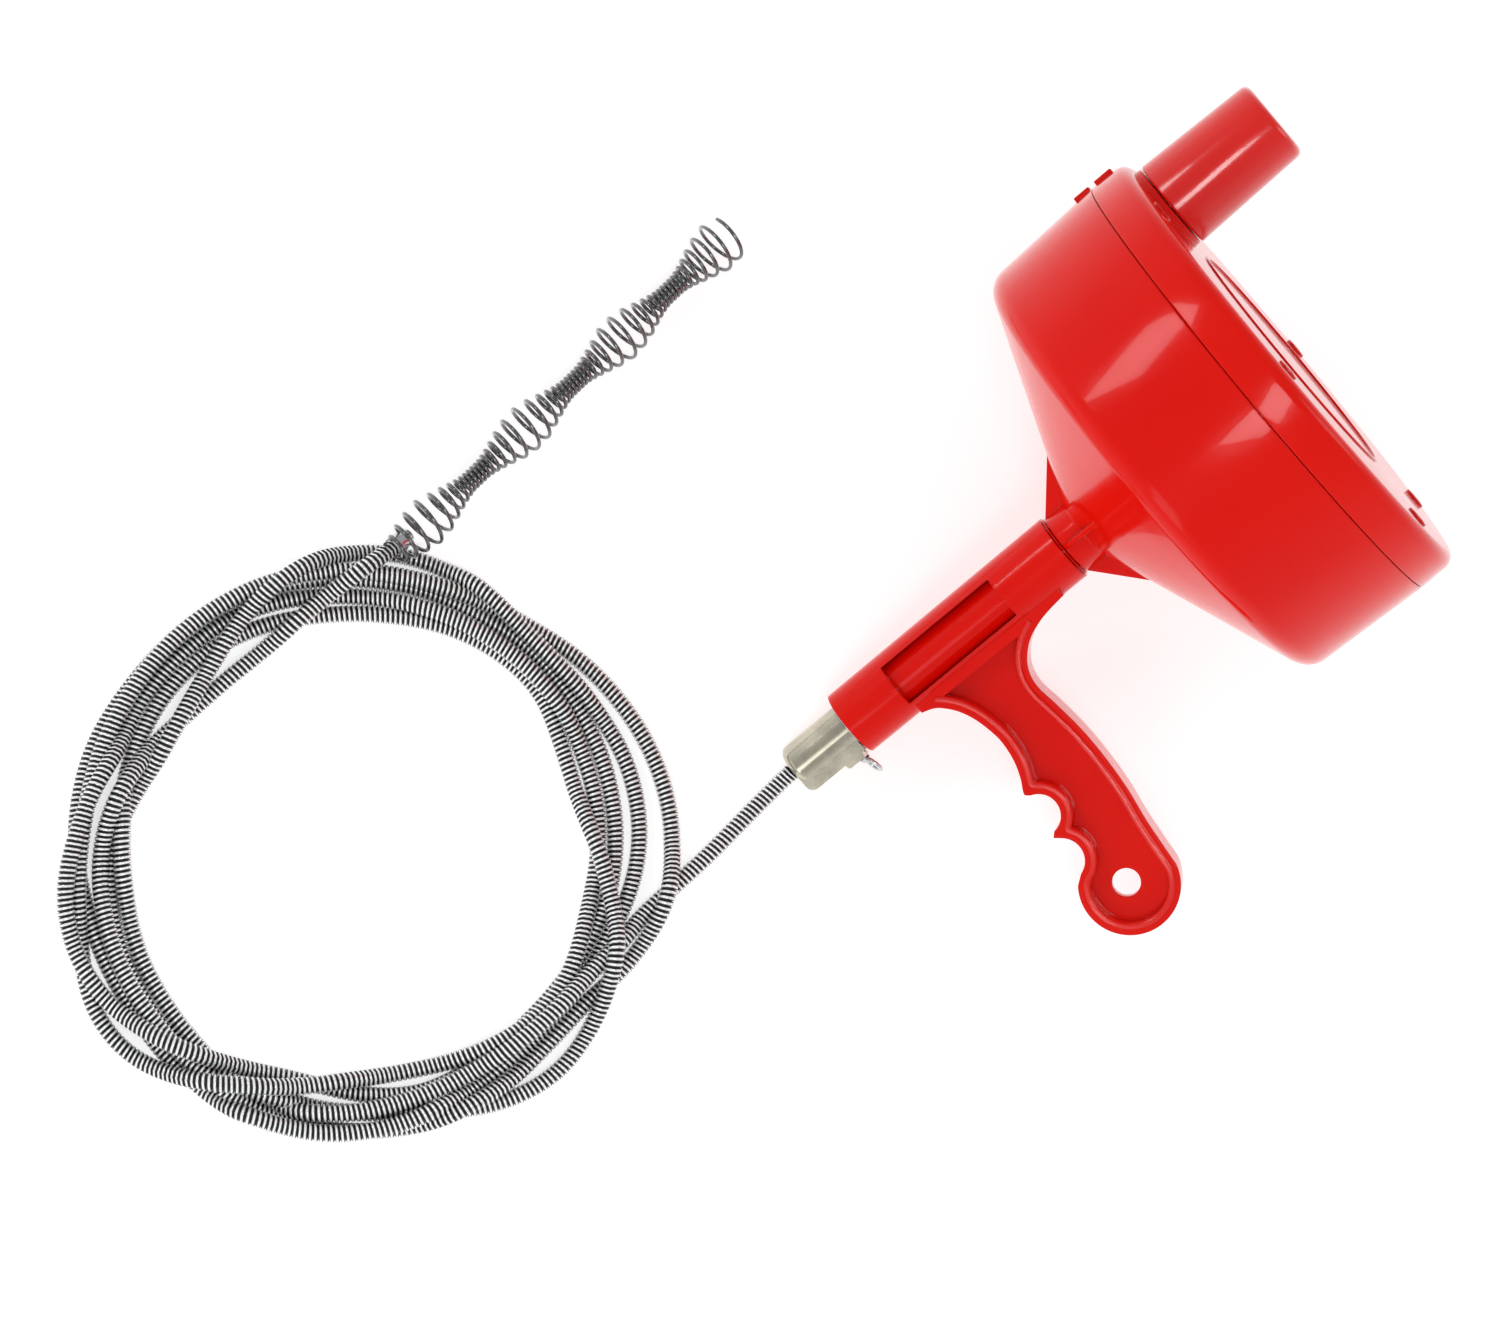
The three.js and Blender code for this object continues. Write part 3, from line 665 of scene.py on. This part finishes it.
def plain_tube(line, radius, sides=8):
    """A round wire along a line, with closed ends."""
    _, normal, side = frames(line)
    j = np.arange(sides)
    angle = 2 * np.pi * j / sides
    verts = (line[:, None] + radius * (normal[:, None] * np.cos(angle)[None, :, None]
                                       + side[:, None] * np.sin(angle)[None, :, None])).reshape(-1, 3)
    faces = []
    for i in range(len(line) - 1):
        for k in range(sides):
            n = (k + 1) % sides
            faces.append((i * sides + k, i * sides + n, (i + 1) * sides + n, (i + 1) * sides + k))
    verts = np.concatenate([verts, line[:1], line[-1:]])
    first, last = len(verts) - 2, len(verts) - 1
    top = (len(line) - 1) * sides
    for k in range(sides):
        n = (k + 1) % sides
        faces.append((first, n, k, k))
        faces.append((last, top + k, top + n, top + n))
    shape = Shape()
    shape.add(verts.tolist(), [tuple(dict.fromkeys(f)) for f in faces])
    return shape


head_shape = plain_tube(head_line(), HEAD_WIRE)
head = make("auger_head_spring", head_shape.verts, head_shape.faces, HEAD_STEEL,
            Matrix.Identity(4), 60)
settle(head, "handle", "spring_steel", "auger_head")

# A guessed ferrule on the cable's end. The head isn't joined to it: the head's axis starts about 10 mm
# away, the wire's end hangs free, and its first turns cut through the ferrule and the cable.
end = Vector(fine[-1])
heading = (end - Vector(fine[-12])).normalized()
ferrule_shape = turned([(-5, 3.0), (-5, 3.75, 0.3), (1.5, 3.75, 0.3), (2, 3.4, 0.2), (4.5, 3.1, 0.3),
                        (4.5, 2.2)], 32, 3)
ferrule_shape.moved(Matrix.Translation(end) @ heading.to_track_quat("X", "Z").to_matrix().to_4x4())
ferrule = make("cable_ferrule", ferrule_shape.verts, ferrule_shape.faces, ZINC, Matrix.Identity(4), 30)
settle(ferrule, "handle", "zinc_plate")
settle(cable, "handle", "spring_steel", "cable_lead", "cable_coil")


# ---------------------------------------------------------------- handle
WINDOW = (24, 76.8, -8.1, 9.0)  # from, to, bottom, top
GRIP_THICK, WEB_THICK, GRIP_RIM, WEB_TOP = 18.0, 4.5, 4.6, -11.2
HANG = (42.5, -112.8, 5.45)  # x, y, radius
BARREL_LENGTH, BARREL_R, BORE_R = 105.5, 13.7, 9.7


def arc(cx, cy, r, start, stop, steps):
    return [(cx + r * math.cos(math.radians(start + (stop - start) * k / steps)),
             cy + r * math.sin(math.radians(start + (stop - start) * k / steps))) for k in range(steps + 1)]


def spline(points, steps=5):
    """Catmull-Rom through 2-D points."""
    pts = [Vector(p) for p in points]
    out = []
    for i in range(len(pts) - 1):
        p0, p1, p2, p3 = pts[max(i - 1, 0)], pts[i], pts[i + 1], pts[min(i + 2, len(pts) - 1)]
        for k in range(steps):
            t = k / steps
            out.append(tuple(0.5 * ((2 * p1) + (p2 - p0) * t + (2 * p0 - 5 * p1 + 4 * p2 - p3) * t * t
                                    + (3 * p1 - p0 - 3 * p2 + p3) * t ** 3)))
    out.append(tuple(pts[-1]))
    return out


def grip_outline():
    front = [(25, -13.9), (29.2, -15.3), (32.3, -17.6), (36.2, -22.5), (39.2, -29.3), (41, -37.7),
             (41.2, -43), (40.2, -50), (37.9, -56.5), (35.4, -61), (35, -62.6)]
    heel = arc(43.8, -113.5, 19.4, 143, 345, 40)
    rear = [heel[-1], (64.4, -99.5), (66.7, -85), (67.8, -70), (67.7, -56), (66.4, -43), (65.3, -34.5),
            (66.3, -28), (69.6, -22.6), (75.5, -17.9), (84, -15), (95, -13.6)]
    points = [(25, -9.5)] + spline(front, 4)
    points += arc(34.1, -71.9, 8.3, 72, -86, 18)
    points += [(33, -81.9)] + arc(29.8, -90.6, 8.7, 50, -74, 16)
    points += heel[:-1] + spline(rear, 5) + [(95, -9.5)]
    out = [Vector(points[0])]
    for p in points[1:]:
        if (Vector(p) - out[-1]).length > 0.35:
            out.append(Vector(p))
    return out


def inset(outline, distance):
    """An outline moved inwards, without the stretches that fold over."""
    n = len(outline)
    area = sum(outline[i].x * outline[(i + 1) % n].y - outline[(i + 1) % n].x * outline[i].y
               for i in range(n))
    sign = 1 if area > 0 else -1
    arr = np.array([tuple(p) for p in outline])
    ends = np.roll(arr, -1, axis=0)
    out = []
    for i, p in enumerate(outline):
        along = (outline[(i + 1) % n] - outline[i - 1]).normalized()
        q = np.array((p.x - sign * along.y * distance, p.y + sign * along.x * distance))
        edge = ends - arr
        t = np.clip(((q - arr) * edge).sum(axis=1) / np.maximum((edge**2).sum(axis=1), 1e-9), 0, 1)
        if np.linalg.norm(arr + edge * t[:, None] - q, axis=1).min() > distance - 0.15:
            out.append(Vector(q))
    clean = [out[0]]
    for p in out[1:]:
        if (p - clean[-1]).length > 0.3:
            clean.append(p)
    return clean


outline = grip_outline()
web = [Vector((p.x, min(p.y, WEB_TOP))) for p in inset(outline, GRIP_RIM)]
web = [p for i, p in enumerate(web) if (p - web[i - 1]).length > 0.2]
pocket = (GRIP_THICK - WEB_THICK) / 2
pockets = [plate(web, 2 * pocket).moved(Matrix.Translation((0, 0, s * (WEB_THICK / 2 + pocket))))
           for s in (-1, 1)]
barrel = turned([(0, 0), (0, BARREL_R - 0.2), (BARREL_LENGTH, BARREL_R + 0.1), (BARREL_LENGTH, 0)],
                96, 1, False)
hole = plate([(HANG[0] + HANG[2] * math.cos(a), HANG[1] + HANG[2] * math.sin(a))
              for a in np.linspace(0, 2 * math.pi, 41)[:-1]], GRIP_THICK + 4)
handle = carved("handle_moulding", barrel, [
    ("UNION", plate(outline, GRIP_THICK)),
    ("DIFFERENCE", pockets[0]),
    ("DIFFERENCE", pockets[1]),
    ("DIFFERENCE", rod(-3, BARREL_LENGTH + 3, BORE_R, 96)),
    ("DIFFERENCE", block(*WINDOW, -20, 20)),
    ("DIFFERENCE", hole),
], RED, 0.55, 3)
settle(handle, "handle", "red_plastic", "handle_grip")

# a round bead runs along the inner edge of the grip's rim, on both faces
BEAD_R, BEAD_SINK = 1.5, 0.9
BEAD_INSET = GRIP_RIM - 1.3
bead = Shape()
for side in (-1, 1):
    track = [p for p in inset(outline, BEAD_INSET) if p.y < WEB_TOP - 1.5]
    path = np.array([(p.x, p.y, side * (GRIP_THICK / 2 - BEAD_SINK)) for p in track])
    bead.joined(plain_tube(softened(even(path, 0.8), 2), BEAD_R, 12))
placed("grip_rim_bead", bead, RED_POLISHED, "handle", "red_plastic")

placed("front_washer_disc", ring(-0.9, -0.3, 6.8, 10.2, 96, 0.15), ZINC, "handle", "zinc_plate",
       "front_washer")
placed("rear_washer_disc", ring(BARREL_LENGTH + 0.3, 106.4, 9.7, 13, 96, 0.15), RED, "handle",
       "red_plastic", "rear_washer")


# ---------------------------------------------------------------- drum
WALL = 2.4
NECK, STUB, CABLE_BORE, HUB_R, HUB_X, CONE_X, SLOPE, DRAFT = 9.4, 6.5, 4.4, 12.4, 106.7, 116.0, 0.396, 0.04
SEAM_X, SEAM_R, BACK_X, BACK_R = 199.3, 96.0, 215.3, 95.6
SCREW_CIRCLE, SCREW_ANGLES = 83, range(30, 360, 60)
KNOB_CIRCLE = 72.4
AT_KNOB = Matrix.Translation((0, KNOB_CIRCLE, 0))


def rim_at(depth):
    side = SEAM_R - DRAFT * SEAM_X - depth * math.hypot(1, DRAFT)
    cone = CONE_X + depth * math.hypot(1, SLOPE)
    x = (cone + SLOPE * (side - HUB_R)) / (1 - SLOPE * DRAFT)
    return x, side + DRAFT * x


def cone_at(r):
    return CONE_X + SLOPE * (r - HUB_R)


def index_lug(x0, x1):
    """A raised mark across the rim, on the bowl and on the lid."""
    foot, top = SEAM_R - 3, SEAM_R + 1.5
    return plate([tuple(p) for p in rounded([(x0, foot), (x1, foot), (x1, top, 0.5), (x0, top, 0.5)], 3)], 8)


rim, inner_rim = rim_at(0), rim_at(WALL)
cone_wall = WALL * math.hypot(1, SLOPE)
bowl = turned([
    (-14.5, CABLE_BORE), (-14.5, STUB, 0.5), (0, STUB, 0.2), (0, NECK, 0.4), (HUB_X, NECK, 0.3),
    (HUB_X, HUB_R, 0.5), (CONE_X, HUB_R, 1.2), (*rim, 9.5), (SEAM_X - 0.3, SEAM_R, 0.4),
    (SEAM_X - 0.3, SEAM_R - WALL),
    (*inner_rim, 7.1), (cone_at(CABLE_BORE) + cone_wall, CABLE_BORE),
], 192, 8)
FIN_R = 31.2
for angle in (0, 90, 180, 270):
    fin = plate([(HUB_X + 0.2, HUB_R - 1), (HUB_X + 0.2, HUB_R), (cone_at(FIN_R), FIN_R),
                 (cone_at(FIN_R) + 1.5, FIN_R), (cone_at(HUB_R) + 1.5, HUB_R - 1)], 2)
    bowl.joined(fin.moved(about_axis(angle)))
for angle in SCREW_ANGLES:
    bowl.joined(on_circle(ring(184, SEAM_X - 0.6, 1.7, 4.1, 24), SCREW_CIRCLE, angle))
bowl.joined(index_lug(191.8, SEAM_X - 0.5))
# the CAD node has a hole for the clamp screw and its shoe through the stub, and this has none, so they
# cut through its wall, out of sight in the chuck
placed("drum_bowl_moulding", bowl, RED, "drum", "red_plastic", "drum_bowl")

inside = BACK_X - WALL
lid = turned([
    (inside, 0), (inside, 88.5, 3), (194.5, 90.9), (194.5, 93), (SEAM_X, 93), (SEAM_X, SEAM_R, 0.4),
    (BACK_X, BACK_R, 5), (BACK_X, 0)], 192, 8, False)
lid.joined(ring(BACK_X - 0.5, BACK_X + 0.7, 47.8, 49.4, 128, 0.3))
lid.joined(turned([(BACK_X - 1, 3.2), (BACK_X - 1, 17.9), (217.6, 17.5, 0.6), (217.6, 3.2)],
                  64, 3).moved(AT_KNOB))
for angle in SCREW_ANGLES:
    lid.joined(on_circle(ring(BACK_X - 0.5, BACK_X + 0.9, 3.2, 4.3, 32, 0.2), SCREW_CIRCLE, angle))
lid.joined(index_lug(SEAM_X + 2.2, 209.3))
placed("drum_lid_moulding", lid, RED, "drum", "red_plastic", "drum_lid")


# ---------------------------------------------------------------- chuck and clamp
NOSE, CHUCK_BACK, CHUCK_R = -28.5, -1.2, 9.15
CLAMP = Matrix.Translation((-7.4, -3.6, 0)) @ Matrix.Rotation(math.radians(16 - 90), 4, "Z")
chuck_base = turned([(NOSE, 0), (NOSE, CHUCK_R, 3.5), (CHUCK_BACK, CHUCK_R), (CHUCK_BACK, 0)], 96, 8, False)
BLOCK_Y, PAD_Y = -11.05, -13.15
lug_outline = rounded([(CHUCK_BACK, 0), (CHUCK_BACK, BLOCK_Y), (-2.8, BLOCK_Y), (-2.8, PAD_Y),
                       (-10.6, PAD_Y, 1.2), (-10.9, BLOCK_Y), (NOSE + 0.6, BLOCK_Y, 3.4),
                       (NOSE + 0.6, 0)], 5)
across = Matrix.Translation((-7.5, 0, 0)) @ Matrix.Rotation(math.pi / 2, 4, "Y")
chuck = carved("chuck_casting", chuck_base, [
    ("UNION", plate([tuple(p) for p in lug_outline], 14.2)),
    ("DIFFERENCE", rod(NOSE - 1, -10, 3.9, 48)),
    ("DIFFERENCE", rod(-15, 1, 6.8, 48)),
    ("DIFFERENCE", rod(0, 16, 2.6, 32).moved(CLAMP)),
    ("DIFFERENCE", rod(0, 12, 1.9, 32).moved(across)),
], NICKEL, 0.35, 3)
settle(chuck, "drum", "nickel_plate", "chuck_body")


def torus(major, minor, segments=64, sides=16):
    shape = Shape()
    for i in range(segments):
        a = 2 * math.pi * i / segments
        for j in range(sides):
            b = 2 * math.pi * j / sides
            r = major + minor * math.cos(b)
            shape.verts.append((r * math.cos(a), r * math.sin(a), minor * math.sin(b)))
    for i in range(segments):
        for j in range(sides):
            n, m = (i + 1) % segments, (j + 1) % sides
            shape.faces.append((i * sides + j, n * sides + j, n * sides + m, i * sides + m))
    return shape


thread = [(2.6 + 0.4 * k, 2.2 if k % 2 else 1.95) for k in range(1, 21)]
screw = turned([(2.1, 0), (2.1, 1.7, 0.2), (2.6, 2.2), *thread, (11.6, 2.2, 0.5), (11.6, 0)], 32, 2, False)
screw.joined(torus(3.3, 0.9).moved(Matrix.Translation((14.5, 0, 0)) @ Matrix.Rotation(
    math.radians(90 - 21), 4, "X")))
screw.moved(CLAMP)
placed("thumb_screw_eye", screw, ZINC, "thumb_screw", "zinc_plate", "thumb_screw")


# ---------------------------------------------------------------- crank knob
knob = turned([(218.1, 15.5), (218.1, 17.9, 0.8), (267.3, 16.5, 3), (267.3, 0), (264.9, 0),
               (264.9, 14.1, 1)], 128, 8).moved(AT_KNOB)
placed("knob_sleeve", knob, RED_POLISHED, "knob", "red_plastic", "knob_shell")

# ---------------------------------------------------------------- kept CAD nodes
slots = {s["node"]: s["material_slot"] for s in frame["record"]["subparts"]}
for name, obj in nodes.items():
    obj.data.materials.clear()
    obj.data.materials.append(BY_SLOT[slots[name]])

# ---------------------------------------------------------------- stage and light
floor_mesh = bpy.data.meshes.new("floor")
floor_mesh.from_pydata([(-6, -6, 0), (6, -6, 0), (6, 6, 0), (-6, 6, 0)], [], [(0, 1, 2, 3)])
floor = bpy.data.objects.new("floor", floor_mesh)
bpy.context.scene.collection.objects.link(floor)
paper = Nodes("floor")
# the emission makes the paper read white under these lights, and it also lights the object from below
paper.set(Base_Color=(0.62, 0.62, 0.62, 1), Roughness=0.9, Specular_IOR_Level=0.1)
paper.set(Emission_Color=(1, 1, 1, 1), Emission_Strength=0.62)
floor_mesh.materials.append(paper.material)

world = bpy.data.worlds.new("studio")
world.use_nodes = True
sky = world.node_tree
split = sky.nodes.new("ShaderNodeSeparateXYZ")
fade = sky.nodes.new("ShaderNodeValToRGB")
sky.links.new(sky.nodes.new("ShaderNodeTexCoord").outputs["Generated"], split.inputs[0])
sky.links.new(split.outputs["Z"], fade.inputs["Fac"])
stops = fade.color_ramp.elements
for place, level in ((0.0, 0.92), (0.3, 0.82), (0.6, 0.56), (1.0, 0.46)):
    stop = stops[-int(place)] if place in (0.0, 1.0) else stops.new(place)
    stop.color = (level, level, level, 1)
sky.links.new(fade.outputs["Color"], sky.nodes["Background"].inputs["Color"])
bpy.context.scene.world = world


def softbox(name, place, target, size, power):
    data = bpy.data.lights.new(name, "AREA")
    data.shape = "RECTANGLE"
    data.size, data.size_y = size
    data.energy = power
    obj = bpy.data.objects.new(name, data)
    obj.location = place
    obj.rotation_mode = "QUATERNION"
    obj.rotation_quaternion = (Vector(target) - Vector(place)).to_track_quat("-Z", "Y")
    bpy.context.scene.collection.objects.link(obj)


AIM = (0.0, 0.05, 0.08)
softbox("key", (-0.50, 1.00, 0.92), AIM, (0.30, 0.26), 2.2)
softbox("top", (-0.52, -0.20, 1.40), AIM, (0.26, 0.34), 3)
softbox("fill", (-1.30, -0.35, 0.95), AIM, (0.5, 0.9), 2.5)
softbox("back", (1.1, -0.5, 0.9), AIM, (0.4, 0.8), 2.5)
bpy.context.scene.view_settings.view_transform = "Standard"
